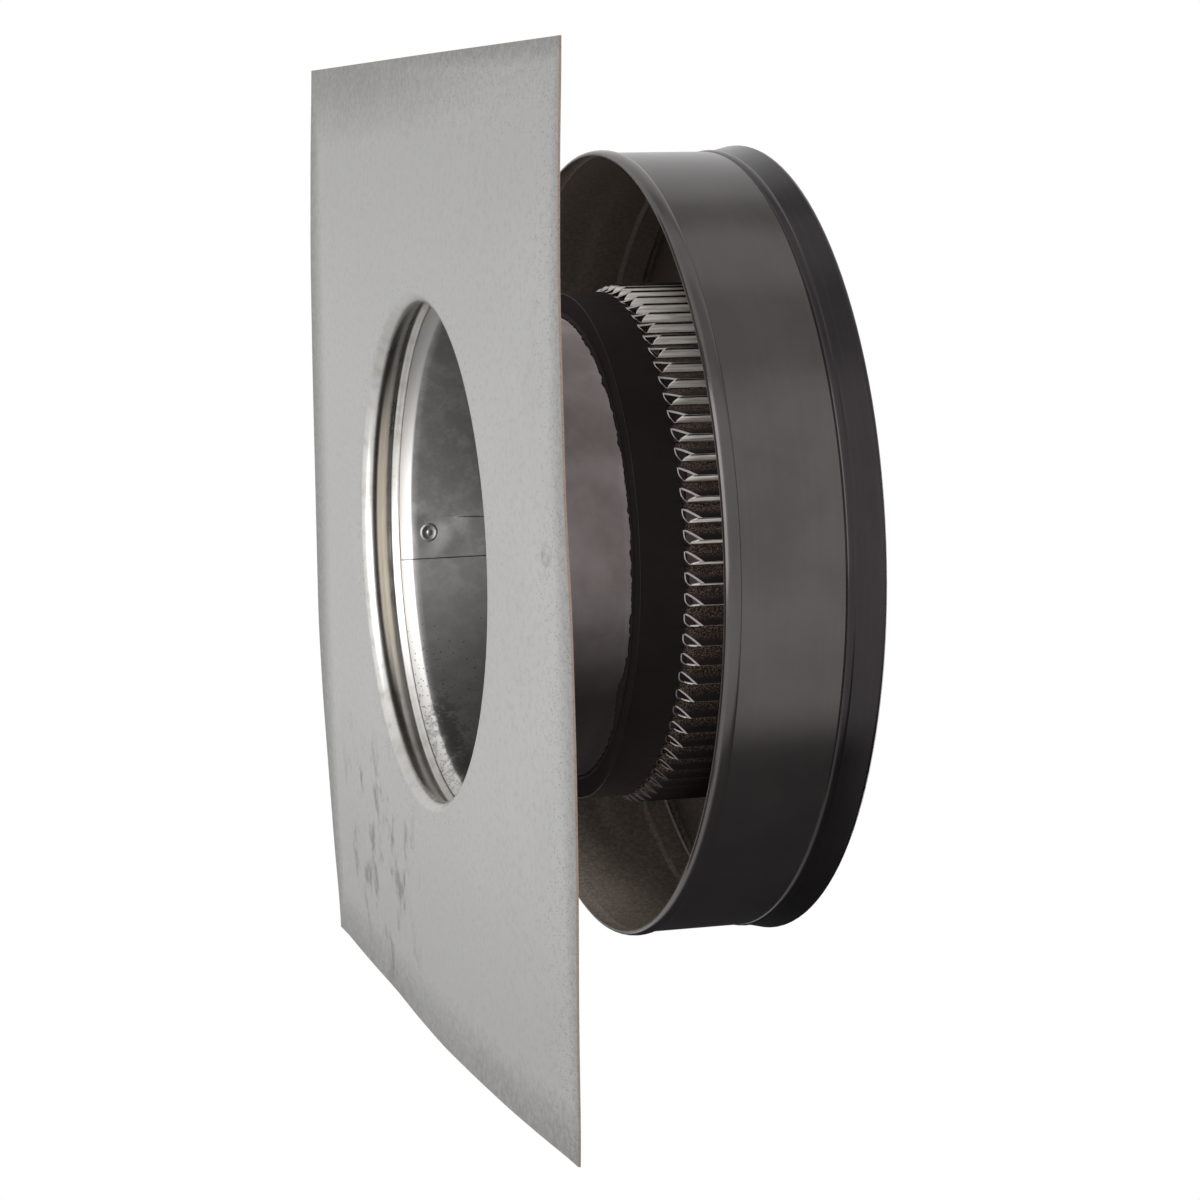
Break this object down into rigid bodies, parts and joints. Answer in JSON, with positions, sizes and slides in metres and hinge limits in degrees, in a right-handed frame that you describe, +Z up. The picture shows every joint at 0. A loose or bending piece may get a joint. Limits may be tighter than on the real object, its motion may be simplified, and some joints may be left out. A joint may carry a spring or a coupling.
{
  "type": "static roof vent",
  "caption": "Low round static roof vent: square base flange with a beaded neck, tapered collar, louvred drum and a wide hood with a rolled rim.",
  "frame": {"origin": "centre of the throat hole on the underside of the base flange", "axes": "+Z up along the vent's axis towards the cap, X and Y along the flange's edges"},
  "size_m": [0.4064, 0.4064, 0.1464],
  "materials": {
    "mill_sheet": "mill finish sheet with dark overspray specks near the edges",
    "collar_paint": "semi-gloss dark bronze outside, mill finish inside",
    "drum_paint": "matte dark bronze with bare blade edges",
    "hood_paint": "semi-gloss dark bronze",
    "bare_rivet": "bare rivet heads",
    "sealant": "ragged black sealant"
  },
  "bodies": {
    "root": {"flange": "mill_sheet", "collar": "collar_paint", "collar_rivet": "bare_rivet", "sealant": "sealant", "base_ring": "drum_paint", "base_rivets": "bare_rivet", "louvre_drum": "drum_paint", "drum_rivets": "drum_paint", "top_ring": "drum_paint", "skirt": "hood_paint", "skirt_rivets": "hood_paint", "cap": "hood_paint", "cap_rivets": "hood_paint"}
  },
  "joints": []
}
